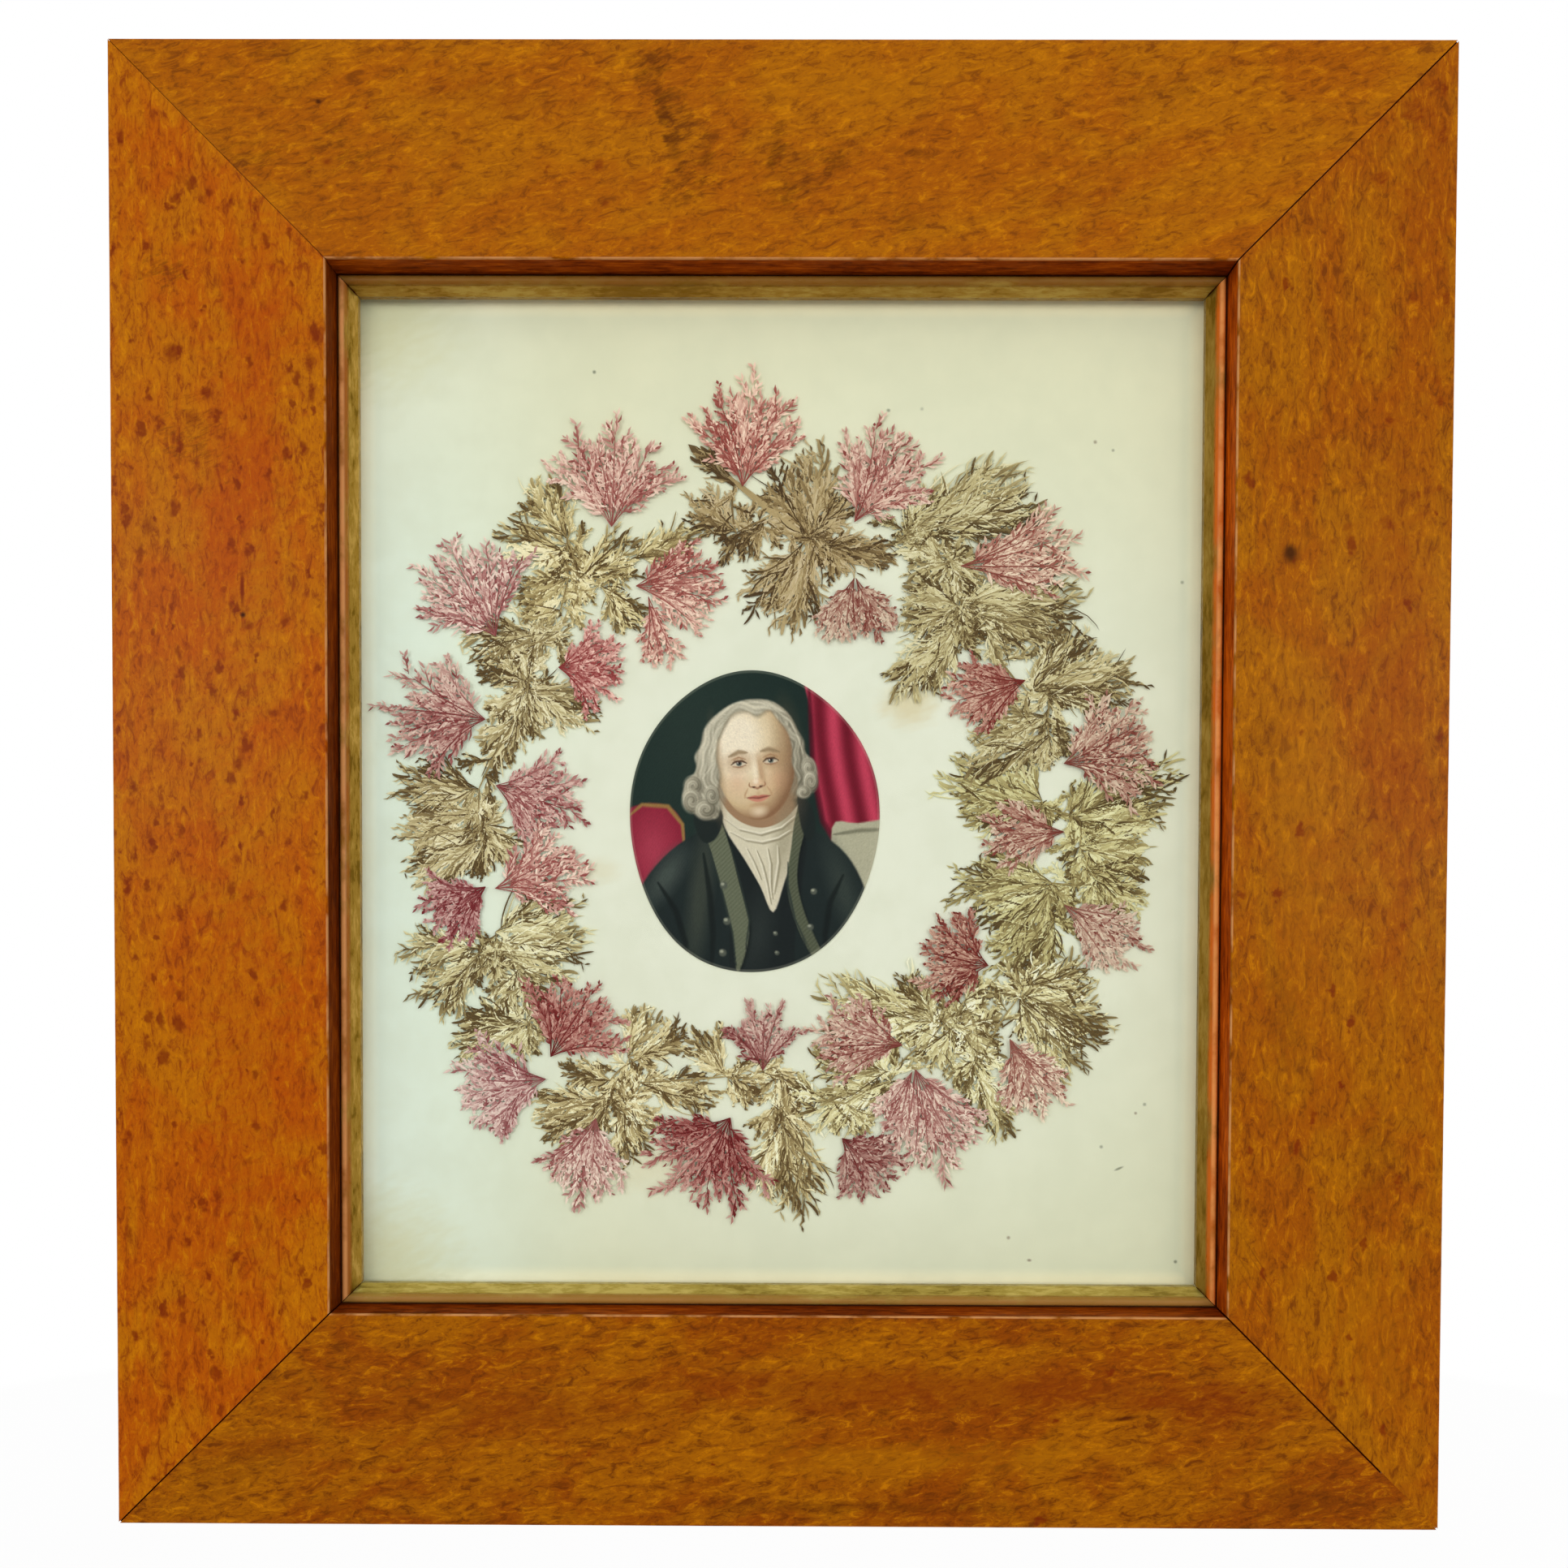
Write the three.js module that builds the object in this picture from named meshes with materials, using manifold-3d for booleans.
// A framed seaweed wreath: a flat bird's-eye maple frame with a stained liner, glazed over pressed
// seaweed that is laid on a paper sheet round an oval cut-out portrait print.
//
// Millimetres. X runs to the right, Z up, and the front faces -Y. The origin is on the back face
// of the top rail, halfway along it and halfway up it, where the frame rests against the wall.

import * as THREE from "three";
import { mergeVertices } from "three/addons/utils/BufferGeometryUtils.js";
import Module from "manifold-3d";

// Frame: four pine rails, each faced with maple veneer and rabbeted at the back
const outerWidth = 355.6;
const outerHeight = 395.2;
const mouldingWidth = 57.15;
const veneerThickness = 1.2;
const glueLine = 0.05;
const arrisRadius = 0.7;
const lipDepth = 11.3; // from the front face to the ledge that the liner sits on
const rabbetWidth = 8;

// Open mitres, one width for each corner of the frame
const topLeftMitre = 0.16;
const topRightMitre = 0.4;
const bottomRightMitre = 0.45;
const bottomLeftMitre = 0.4;

// Clearances
const seatGap = 0.1; // between flat pieces that lie on each other
const cutGap = 0.3; // round whatever goes into a bored hole
const paneClearance = 0.5; // from the rabbet's wall to whatever is dropped into it
const cutOverrun = 1;

// Liner: a stained slip with a round bead next to the frame and a bevel down to the sight edge
const linerThickness = 4;
const linerShow = 5.3;
const beadRadius = 1.35;
const beadQuirk = 0.35;
const sightEdgeThickness = 2.2;
const linerMitre = 0.2;

// Flat layers behind the liner, from the glass to the board
const glassThickness = 2;
const sheetThickness = 0.4;
const boardThickness = 3.9;

// Oval portrait print
const printWidth = 69.2;
const printHeight = 83.6;
const printThickness = 0.25;
const printWaverShare = 0.008; // how far the scissors strayed from a true oval
const printSteps = 48;

// Pressed seaweed, in thin layers one over the other
const weedThickness = 0.2;
const layerGap = 0.08;
const layerCount = 4;
const stalkWidth = 0.9;
const runnerWidth = 0.7;

// Brads that hold the board
const bradDiameter = 1.4;
const bradLength = 19;
const bradSunk = 11;
const bradSetback = 0.8; // from the brad to the frame's back face

// Screw eyes and their hanging rings
const eyeWireDiameter = 2.4;
const eyeHoleRadius = 2.6;
const eyeStandoff = 0.8; // from the eye's wire to the frame's back face
const eyeShankLength = 12;
const eyePointLength = 3;
const eyeBelowTop = 110;
const eyeFromEdge = 24.5;
const ringWireDiameter = 2;
const ringMeanRadius = 8;
const ringSlack = 0.3; // between the ring's wire and the eye's wire that it hangs on

// Depth planes, from the back face at zero to the front face
const bradAxisY = -(bradSetback + bradDiameter / 2);
const boardBackY = bradAxisY - bradDiameter / 2 - seatGap;
const boardFrontY = boardBackY - boardThickness;
const sheetBackY = boardFrontY - seatGap;
const sheetFrontY = sheetBackY - sheetThickness;
const weedBackY = sheetFrontY - seatGap - printThickness - seatGap;
const glassBackY = weedBackY - layerCount * (weedThickness + layerGap);
const glassFrontY = glassBackY - glassThickness;
const linerBackY = glassFrontY - seatGap;
const linerFrontY = linerBackY - linerThickness;
const ledgeY = linerFrontY - seatGap;
const frontY = ledgeY - lipDepth;
const coreFrontY = frontY + veneerThickness + glueLine;

const rabbetEdge = mouldingWidth - rabbetWidth; // distances are taken inwards from the outer edge
const sightEdge = mouldingWidth + linerShow;
const sightWidth = outerWidth - 2 * sightEdge;
const sightHeight = outerHeight - 2 * sightEdge;

// Where the photograph shows the sight edge: left, top, right and bottom. The sheet lies behind
// that edge, so its pixels are a little larger.
const sightPixels = [443.5, 369.5, 1480.5, 1588.5];
const sheetDepthShare = 1.013;

const maple = { color: 0xb06414, roughness: 0.35, metalness: 0 };
const pine = { color: 0x6e3310, roughness: 0.7, metalness: 0 };
const stainedSlip = { color: 0x8a6a2c, roughness: 0.4, metalness: 0 };
const clearGlass = { color: 0xf4faf6, roughness: 0.05, metalness: 0, transparent: true, opacity: 0.2 };
const creamPaper = { color: 0xdde0c4, roughness: 0.9, metalness: 0 };
const printInk = { color: 0x38423a, roughness: 0.8, metalness: 0 };
const boardWood = { color: 0x9a6a3c, roughness: 0.8, metalness: 0 };
const iron = { color: 0x4a4642, roughness: 0.6, metalness: 0.9 };
const brass = { color: 0xa8823c, roughness: 0.4, metalness: 1 };
const oliveWeed = { color: 0x8a7a44, roughness: 0.85, metalness: 0 };

const wasm = await Module();
wasm.setup();

// A closed geometry as a solid that can be joined to another or cut by it.
function solidOf(geometry) {
  const bare = geometry.index ? geometry.toNonIndexed() : geometry.clone();
  bare.deleteAttribute("normal");
  bare.deleteAttribute("uv");
  const merged = mergeVertices(bare);
  return new wasm.Manifold(
    new wasm.Mesh({
      numProp: 3,
      vertProperties: merged.attributes.position.array,
      triVerts: new Uint32Array(merged.index.array),
    }),
  );
}

function geometryOf(solid) {
  const mesh = solid.getMesh();
  const geometry = new THREE.BufferGeometry();
  geometry.setAttribute("position", new THREE.BufferAttribute(mesh.vertProperties, 3));
  geometry.setIndex(new THREE.BufferAttribute(mesh.triVerts, 1));
  geometry.computeVertexNormals();
  return geometry;
}

function joined(geometries) {
  return geometryOf(geometries.map(solidOf).reduce((all, next) => all.add(next)));
}

function piece(name, geometry, finish) {
  const mesh = new THREE.Mesh(geometry, new THREE.MeshStandardMaterial(finish));
  mesh.name = name;
  return mesh;
}

// Mitred bars. A profile is drawn with X inwards from the frame's outer edge and Y as depth. The
// bar lies along X with its outer edge at Z = 0, and each end is cut back at 45 degrees.
function mitredBar(profile, halfLength, startMitre, endMitre) {
  const bar = new THREE.ExtrudeGeometry(profile, { depth: 1, bevelEnabled: false, curveSegments: 6 });
  const at = bar.getAttribute("position");
  for (let i = 0; i < at.count; i++) {
    const inwards = at.getX(i);
    const reach = halfLength - inwards;
    const atEnd = at.getZ(i) > 0;
    const along = atEnd ? reach - endMitre * Math.SQRT1_2 : startMitre * Math.SQRT1_2 - reach;
    at.setXYZ(i, along, at.getY(i), -inwards);
  }
  bar.computeVertexNormals();
  return bar;
}

function coreProfile() {
  return new THREE.Shape([
    new THREE.Vector2(0, coreFrontY),
    new THREE.Vector2(0, 0),
    new THREE.Vector2(rabbetEdge, 0),
    new THREE.Vector2(rabbetEdge, ledgeY),
    new THREE.Vector2(mouldingWidth, ledgeY),
    new THREE.Vector2(mouldingWidth, coreFrontY),
  ]);
}

// The veneer's front edges are worn round.
function veneerProfile() {
  const radius = Math.min(arrisRadius, veneerThickness / 2);
  const backY = frontY + veneerThickness;
  const profile = new THREE.Shape();
  profile.moveTo(0, backY);
  profile.absarc(radius, frontY + radius, radius, Math.PI, 1.5 * Math.PI);
  profile.absarc(mouldingWidth - radius, frontY + radius, radius, 1.5 * Math.PI, 2 * Math.PI);
  profile.lineTo(mouldingWidth, backY);
  return profile;
}

function linerProfile() {
  const outerEdge = rabbetEdge + paneClearance;
  const beadCentre = mouldingWidth + beadQuirk + beadRadius;
  const profile = new THREE.Shape();
  profile.moveTo(outerEdge, linerBackY);
  profile.lineTo(outerEdge, linerFrontY);
  profile.absarc(beadCentre, linerFrontY, beadRadius, Math.PI, 2 * Math.PI);
  profile.lineTo(sightEdge, linerBackY - sightEdgeThickness);
  profile.lineTo(sightEdge, linerBackY);
  return profile;
}

// A straight hole or pin, centred on the origin and running along Z.
function rod(diameter, length, sides) {
  return new THREE.CylinderGeometry(diameter / 2, diameter / 2, length, sides).rotateX(Math.PI / 2);
}

const bradSides = 8;

function bradGeometry(along) {
  const middle = bradSunk - bradLength / 2 - rabbetEdge;
  return rod(bradDiameter, bradLength, bradSides).translate(along, bradAxisY, middle);
}

function bradHole(along) {
  const length = bradSunk + cutGap + cutOverrun;
  const middle = length / 2 - cutOverrun - rabbetEdge;
  return rod(bradDiameter + 2 * cutGap, length, bradSides).translate(along, bradAxisY, middle);
}

// The hole for a screw eye's shank runs in from the back face.
function eyeHole(along) {
  const radius = eyeWireDiameter / 2 + cutGap;
  const length = eyeShankLength + cutGap + cutOverrun;
  const middle = cutOverrun - length / 2;
  return new THREE.CylinderGeometry(radius, radius, length, eyeSides).translate(along, middle, -eyeFromEdge);
}

const eyeSides = 10;
const eyeHeight = outerHeight / 2 - eyeBelowTop;

// The four sides in turn round the frame, each with its mitres, brads and screw eye. Brads are
// placed by shares of half the side's length.
const railBradShares = [0.05];
const stileBradShares = [-0.42, 0.42];
const sides = [
  { side: "top", core: "top_rail", mitres: [topLeftMitre, topRightMitre], bradShares: railBradShares },
  {
    side: "right",
    core: "right_stile",
    mitres: [topRightMitre, bottomRightMitre],
    bradShares: stileBradShares,
    eyeAlong: -eyeHeight,
  },
  {
    side: "bottom",
    core: "bottom_rail",
    mitres: [bottomRightMitre, bottomLeftMitre],
    bradShares: railBradShares,
  },
  {
    side: "left",
    core: "left_stile",
    mitres: [bottomLeftMitre, topLeftMitre],
    bradShares: stileBradShares,
    eyeAlong: eyeHeight,
  },
];

function frameSide({ side, core, mitres, bradShares, eyeAlong }, turns) {
  const upright = eyeAlong !== undefined;
  const halfLength = (upright ? outerHeight : outerWidth) / 2;
  const outwards = (upright ? outerWidth : outerHeight) / 2;
  const bradPlaces = bradShares.map((share) => share * halfLength);
  const holes = bradPlaces.map(bradHole);
  if (upright) holes.push(eyeHole(eyeAlong));
  const bar = solidOf(mitredBar(coreProfile(), halfLength, ...mitres));
  const bored = holes.map(solidOf).reduce((wood, hole) => wood.subtract(hole), bar);

  const group = new THREE.Group();
  group.rotation.y = (turns * Math.PI) / 2;
  group.position.set(Math.sin(group.rotation.y) * outwards, 0, Math.cos(group.rotation.y) * outwards);
  group.add(piece(core, geometryOf(bored), pine));
  group.add(piece(side + "_veneer", mitredBar(veneerProfile(), halfLength, ...mitres), maple));
  const slip = mitredBar(linerProfile(), halfLength, linerMitre, linerMitre);
  group.add(piece(side + "_liner", slip, stainedSlip));
  bradPlaces.forEach((place, i) => group.add(piece(`${side}_brad_${i + 1}`, bradGeometry(place), iron)));
  return group;
}

// Flat layers that drop into the rabbet
function pane(name, frontPlane, thickness, finish) {
  const width = outerWidth - 2 * (rabbetEdge + paneClearance);
  const height = outerHeight - 2 * (rabbetEdge + paneClearance);
  const mesh = piece(name, new THREE.BoxGeometry(width, thickness, height), finish);
  mesh.position.y = frontPlane + thickness / 2;
  return mesh;
}

// A point of the photograph as a point on the sheet, from the sheet's middle.
function onSheet(x, y) {
  const [left, top, right, bottom] = sightPixels;
  const across = ((x - left) / (right - left) - 0.5) * sightWidth;
  const up = (0.5 - (y - top) / (bottom - top)) * sightHeight;
  return new THREE.Vector2(across, up).multiplyScalar(sheetDepthShare);
}

// A flat outline as a thin plate, from its back plane forwards.
function plate(outline, thickness, backPlane) {
  const made = new THREE.ExtrudeGeometry(new THREE.Shape(outline), { depth: thickness, bevelEnabled: false });
  return made.rotateX(Math.PI / 2).translate(0, backPlane, 0);
}

const printCentrePixels = [930, 1011];

function printGeometry() {
  const centre = onSheet(...printCentrePixels);
  const outline = [];
  for (let i = 0; i < printSteps; i++) {
    const turn = (2 * Math.PI * i) / printSteps;
    const waver = 1 + printWaverShare * (Math.sin(3 * turn + 1) + Math.sin(5 * turn));
    const across = (printWidth / 2) * Math.cos(turn);
    const up = (printHeight / 2) * Math.sin(turn);
    outline.push(new THREE.Vector2(across, up).multiplyScalar(waver).add(centre));
  }
  return plate(outline, printThickness, sheetFrontY - seatGap);
}

// Every specimen is made of fans, which spread from a stalk into blunt lobes. The outer lobes and
// every second one are shorter, and the notches between lobes reach back towards the stalk.
const edgeDropShare = 0.24;
const shortLobeShare = 0.88;
const bluntShare = 0.3;

function fanOutline([baseX, baseY, tipX, tipY, spreadDegrees, lobes], notchShare) {
  const axis = new THREE.Vector2(tipX - baseX, tipY - baseY);
  const half = THREE.MathUtils.degToRad(spreadDegrees / 2);
  const lobeHalf = half / lobes;
  const ray = (offset, length) => {
    const turn = axis.angle() + offset;
    return onSheet(baseX + length * Math.cos(turn), baseY + length * Math.sin(turn));
  };
  const stalk = onSheet(baseX, baseY);
  const stalkSide = ray(Math.PI / 2, axis.length()).sub(stalk).setLength(stalkWidth / 2);
  const outline = [stalk.clone().sub(stalkSide)];
  for (let i = 0; i < lobes; i++) {
    const middle = half * ((2 * i + 1) / lobes - 1);
    const drop = 1 - edgeDropShare * (middle / half) ** 2;
    const length = axis.length() * drop * (i % 2 === lobes % 2 ? shortLobeShare : 1);
    if (i > 0) outline.push(ray(middle - lobeHalf, length * notchShare));
    outline.push(ray(middle - lobeHalf * bluntShare, length));
    outline.push(ray(middle + lobeHalf * bluntShare, length));
  }
  outline.push(stalk.clone().add(stalkSide));
  return outline;
}

// A straight strip runs half its width past both its ends, so that strips join where they meet.
function stripOutline(from, to, width) {
  const half = to.clone().sub(from).setLength(width / 2);
  const side = new THREE.Vector2(-half.y, half.x);
  const start = from.clone().sub(half);
  const end = to.clone().add(half);
  return [start.clone().sub(side), end.clone().sub(side), end.clone().add(side), start.clone().add(side)];
}

// Fans in one layer, joined by a thin runner through their stalks in turn.
function clump(fanPixels, notchShare, layer) {
  const outlines = fanPixels.map((fan) => fanOutline(fan, notchShare));
  const stalks = fanPixels.map(([x, y]) => onSheet(x, y));
  for (let i = 1; i < stalks.length; i++) outlines.push(stripOutline(stalks[i - 1], stalks[i], runnerWidth));
  const back = weedBackY - layer * (weedThickness + layerGap);
  return joined(outlines.map((outline) => plate(outline, weedThickness, back)));
}

// Each pink tuft lists its colour and its fans, as the photograph's pixels of the stalk and of the
// farthest lobe, the spread in degrees and the count of lobes.
const tufts = [
  { color: 0xbe7878, fanPixels: [[915, 600, 928, 458, 96, 9]] },
  { color: 0xaa555f, fanPixels: [[755, 650, 760, 510, 112, 9]] },
  { color: 0xaf6973, fanPixels: [[1052, 643, 1124, 528, 86, 9]] },
  { color: 0xbe7873, fanPixels: [[1182, 697, 1337, 676, 52, 7]] },
  { color: 0xaf556e, fanPixels: [[613, 784, 552, 664, 102, 9]] },
  { color: 0xa5465a, fanPixels: [[600, 886, 470, 872, 108, 9]] },
  { color: 0xaf555f, fanPixels: [[785, 722, 905, 716, 84, 7], [800, 735, 820, 835, 36, 3]] },
  { color: 0xb95064, fanPixels: [[690, 822, 782, 826, 112, 9]] },
  { color: 0xa5465a, fanPixels: [[613, 967, 720, 1003, 94, 9]] },
  { color: 0xbe6973, fanPixels: [[612, 1094, 732, 1056, 76, 7]] },
  { color: 0xa54664, fanPixels: [[600, 1092, 520, 1146, 92, 9]] },
  { color: 0x8c2d46, fanPixels: [[680, 1302, 744, 1203, 112, 9]] },
  { color: 0xb4556e, fanPixels: [[674, 1330, 552, 1352, 82, 9], [640, 1350, 604, 1408, 34, 3]] },
  { color: 0xb97378, fanPixels: [[736, 1378, 712, 1490, 82, 9]] },
  { color: 0x963c4b, fanPixels: [[902, 1377, 840, 1488, 124, 11]] },
  { color: 0x963c55, fanPixels: [[942, 1318, 944, 1228, 96, 7]] },
  { color: 0xa54b5a, fanPixels: [[1114, 1286, 997, 1270, 82, 9]] },
  { color: 0xaf6473, fanPixels: [[1130, 1316, 1174, 1450, 84, 9], [1126, 1319, 1092, 1396, 56, 5]] },
  { color: 0x874150, fanPixels: [[1040, 1402, 1106, 1466, 98, 9]] },
  { color: 0x913246, fanPixels: [[1219, 1187, 1119, 1166, 126, 9]] },
  { color: 0xb45f69, fanPixels: [[1312, 1112, 1410, 1182, 60, 7]] },
  { color: 0xb97d73, fanPixels: [[1246, 1278, 1298, 1380, 70, 9]] },
  { color: 0xaf5f69, fanPixels: [[1311, 1022, 1202, 1026, 64, 7]] },
  { color: 0x914655, fanPixels: [[1310, 938, 1436, 900, 98, 9]] },
  { color: 0xa04150, fanPixels: [[1262, 836, 1162, 866, 76, 9]] },
  { color: 0x9b4655, fanPixels: [[1052, 712, 1020, 800, 56, 5], [1054, 712, 1090, 790, 50, 5]] },
];

const tuftNotchShare = 0.7;
const tuftLayers = [2, 3];

function tuft({ color, fanPixels }, i) {
  const name = "pink_tuft_" + String(i + 1).padStart(2, "0");
  const made = clump(fanPixels, tuftNotchShare, tuftLayers[i % tuftLayers.length]);
  return piece(name, made, { color, roughness: 0.9, metalness: 0 });
}

// Each olive garland lists its fans in the same form, in the order in which its runner passes
// through their stalks.
const garlands = [
  {
    name: "olive_garland_top",
    fanPixels: [
      [905, 596, 858, 553, 30, 3],
      [908, 656, 846, 614, 62, 5],
      [942, 640, 908, 688, 56, 5],
      [990, 668, 926, 750, 44, 5],
      [1000, 664, 972, 778, 38, 7],
      [996, 660, 952, 574, 48, 5],
      [1000, 660, 1014, 550, 36, 5],
      [1004, 660, 1046, 606, 44, 5],
      [1012, 672, 1106, 686, 26, 5],
      [1022, 676, 1036, 716, 56, 3],
    ],
  },
  {
    name: "olive_garland_upper_left",
    fanPixels: [
      [780, 688, 862, 658, 32, 5],
      [742, 722, 790, 780, 50, 5],
      [712, 716, 792, 668, 60, 5],
      [700, 664, 656, 594, 52, 5],
      [700, 680, 618, 658, 46, 5],
      [702, 712, 638, 738, 50, 5],
      [692, 752, 640, 754, 40, 3],
    ],
  },
  {
    name: "olive_garland_left",
    fanPixels: [
      [690, 778, 566, 788, 24, 5],
      [650, 796, 702, 764, 60, 5],
      [652, 838, 660, 784, 70, 5],
      [654, 842, 592, 804, 62, 5],
      [648, 852, 604, 886, 52, 5],
      [652, 848, 730, 884, 48, 7],
      [652, 850, 662, 914, 58, 5],
      [640, 880, 602, 944, 56, 5],
      [592, 972, 492, 966, 52, 7],
      [592, 1000, 504, 1010, 34, 5],
      [592, 1022, 492, 1028, 28, 5],
      [596, 1012, 634, 1064, 60, 5],
      [594, 1034, 508, 1084, 46, 7],
      [598, 1040, 590, 1082, 44, 3],
    ],
  },
  {
    name: "olive_garland_lower_left",
    fanPixels: [
      [612, 1148, 704, 1112, 50, 5],
      [616, 1162, 736, 1152, 36, 5],
      [620, 1174, 702, 1202, 50, 5],
      [592, 1168, 496, 1172, 44, 5],
      [592, 1176, 526, 1242, 52, 7],
      [604, 1178, 578, 1218, 30, 3],
      [640, 1194, 610, 1246, 60, 5],
      [642, 1196, 670, 1250, 48, 5],
      [652, 1262, 550, 1286, 32, 5],
      [650, 1256, 564, 1256, 26, 3],
      [656, 1262, 642, 1304, 70, 5],
    ],
  },
  {
    name: "olive_garland_bottom",
    fanPixels: [
      [775, 1302, 798, 1236, 50, 5],
      [782, 1308, 850, 1268, 42, 5],
      [754, 1332, 698, 1314, 50, 5],
      [756, 1352, 652, 1370, 30, 5],
      [754, 1360, 666, 1410, 38, 5],
      [772, 1362, 780, 1440, 50, 5],
      [776, 1354, 810, 1398, 50, 3],
      [790, 1334, 884, 1352, 26, 5],
      [896, 1326, 858, 1266, 60, 5],
      [910, 1330, 936, 1362, 60, 3],
      [958, 1316, 996, 1388, 52, 5],
      [958, 1362, 932, 1404, 56, 3],
      [966, 1384, 942, 1480, 40, 5],
      [966, 1366, 988, 1502, 36, 7],
    ],
  },
  {
    name: "olive_garland_lower_right",
    fanPixels: [
      [1012, 1350, 976, 1332, 60, 3],
      [1044, 1358, 1076, 1396, 66, 5],
      [1100, 1332, 998, 1378, 36, 7],
      [1100, 1320, 1006, 1300, 40, 5],
      [1160, 1264, 1116, 1290, 56, 3],
      [1160, 1258, 1020, 1224, 26, 5],
      [1152, 1258, 1058, 1226, 34, 5],
      [1156, 1250, 1110, 1202, 46, 5],
      [1176, 1264, 1146, 1318, 60, 5],
      [1180, 1262, 1232, 1302, 50, 5],
      [1190, 1232, 1222, 1206, 64, 5],
      [1204, 1262, 1242, 1246, 60, 3],
      [1204, 1304, 1176, 1338, 56, 3],
      [1206, 1322, 1246, 1396, 38, 5],
      [1258, 1228, 1288, 1286, 56, 5],
      [1262, 1230, 1340, 1320, 34, 5],
      [1262, 1222, 1368, 1272, 42, 7],
      [1262, 1212, 1350, 1198, 44, 5],
    ],
  },
  {
    name: "olive_garland_right",
    fanPixels: [
      [1284, 984, 1238, 938, 58, 5],
      [1282, 990, 1164, 952, 32, 7],
      [1278, 992, 1186, 1002, 28, 5],
      [1318, 1000, 1336, 962, 60, 3],
      [1322, 1004, 1448, 950, 38, 7],
      [1330, 1006, 1430, 1004, 28, 5],
      [1330, 1040, 1412, 1012, 38, 5],
      [1334, 1044, 1420, 1056, 30, 5],
      [1336, 1068, 1412, 1078, 48, 5],
      [1352, 1080, 1414, 1126, 46, 5],
      [1352, 1086, 1374, 1136, 44, 5],
      [1296, 1084, 1206, 1054, 36, 5],
      [1294, 1088, 1176, 1090, 36, 7],
      [1292, 1092, 1210, 1134, 36, 5],
      [1294, 1096, 1230, 1168, 38, 5],
      [1298, 1128, 1226, 1196, 48, 5],
      [1300, 1134, 1272, 1206, 46, 5],
    ],
  },
  {
    name: "olive_garland_upper_right",
    fanPixels: [
      [1112, 660, 1262, 582, 34, 7],
      [1150, 656, 1284, 624, 28, 5],
      [1112, 654, 1178, 612, 48, 5],
      [1160, 690, 1108, 650, 60, 5],
      [1170, 692, 1112, 712, 50, 3],
      [1170, 692, 1202, 734, 70, 5],
      [1178, 744, 1110, 716, 46, 5],
      [1178, 750, 1110, 768, 42, 5],
      [1178, 764, 1138, 804, 40, 3],
      [1184, 738, 1320, 738, 30, 7],
      [1186, 745, 1336, 766, 24, 5],
      [1190, 752, 1300, 784, 30, 5],
      [1170, 776, 1094, 854, 26, 5],
      [1176, 786, 1130, 852, 34, 5],
      [1212, 770, 1236, 814, 50, 3],
      [1268, 850, 1342, 774, 42, 7],
      [1290, 846, 1404, 828, 34, 7],
      [1290, 852, 1374, 864, 30, 5],
      [1290, 880, 1198, 900, 44, 5],
      [1292, 902, 1188, 942, 34, 5],
      [1292, 906, 1280, 946, 60, 5],
    ],
  },
];

const garlandNotchShare = 0.56;
const garlandLayers = [0, 1];

function garland({ name, fanPixels }, i) {
  const made = clump(fanPixels, garlandNotchShare, garlandLayers[i % garlandLayers.length]);
  return piece(name, made, oliveWeed);
}

// A screw eye stands in the Y-Z plane, so that its ring can hang flat against the stile.
const eyeMeanRadius = eyeHoleRadius + eyeWireDiameter / 2;
const eyeCentreY = eyeStandoff + eyeMeanRadius + eyeWireDiameter / 2;
const wireSides = 8;
const eyeSteps = 20;
const ringSteps = 28;

function screwEyeGeometry() {
  const radius = eyeWireDiameter / 2;
  const loop = new THREE.TorusGeometry(eyeMeanRadius, radius, wireSides, eyeSteps).rotateY(Math.PI / 2);
  loop.translate(0, eyeCentreY, 0);
  const shankTop = eyeCentreY - eyeMeanRadius;
  const shank = new THREE.LatheGeometry(
    [
      new THREE.Vector2(0, -eyeShankLength),
      new THREE.Vector2(radius, eyePointLength - eyeShankLength),
      new THREE.Vector2(radius, shankTop),
      new THREE.Vector2(0, shankTop),
    ],
    eyeSides,
  );
  return joined([loop, shank]);
}

function hanger(side, across) {
  const group = new THREE.Group();
  group.position.set(across, 0, eyeHeight);
  group.add(piece(side + "_screw_eye", screwEyeGeometry(), brass));
  const wire = ringWireDiameter / 2;
  const torus = new THREE.TorusGeometry(ringMeanRadius, wire, wireSides, ringSteps);
  const ring = piece(side + "_hanging_ring", torus.rotateX(Math.PI / 2), brass);
  const pivotDrop = eyeHoleRadius - wire - ringSlack;
  ring.position.set(0, eyeCentreY, -pivotDrop - ringMeanRadius);
  group.add(ring);
  return group;
}

const picture = new THREE.Group();
picture.position.z = (mouldingWidth - outerHeight) / 2;
sides.forEach((side, turns) => picture.add(frameSide(side, turns)));
picture.add(pane("glass_pane", glassFrontY, glassThickness, clearGlass));
picture.add(pane("paper_sheet", sheetFrontY, sheetThickness, creamPaper));
picture.add(pane("backing_board", boardFrontY, boardThickness, boardWood));
picture.add(piece("portrait_print", printGeometry(), printInk));
garlands.forEach((item, i) => picture.add(garland(item, i)));
tufts.forEach((item, i) => picture.add(tuft(item, i)));
picture.add(hanger("left", eyeFromEdge - outerWidth / 2));
picture.add(hanger("right", outerWidth / 2 - eyeFromEdge));

export default picture;
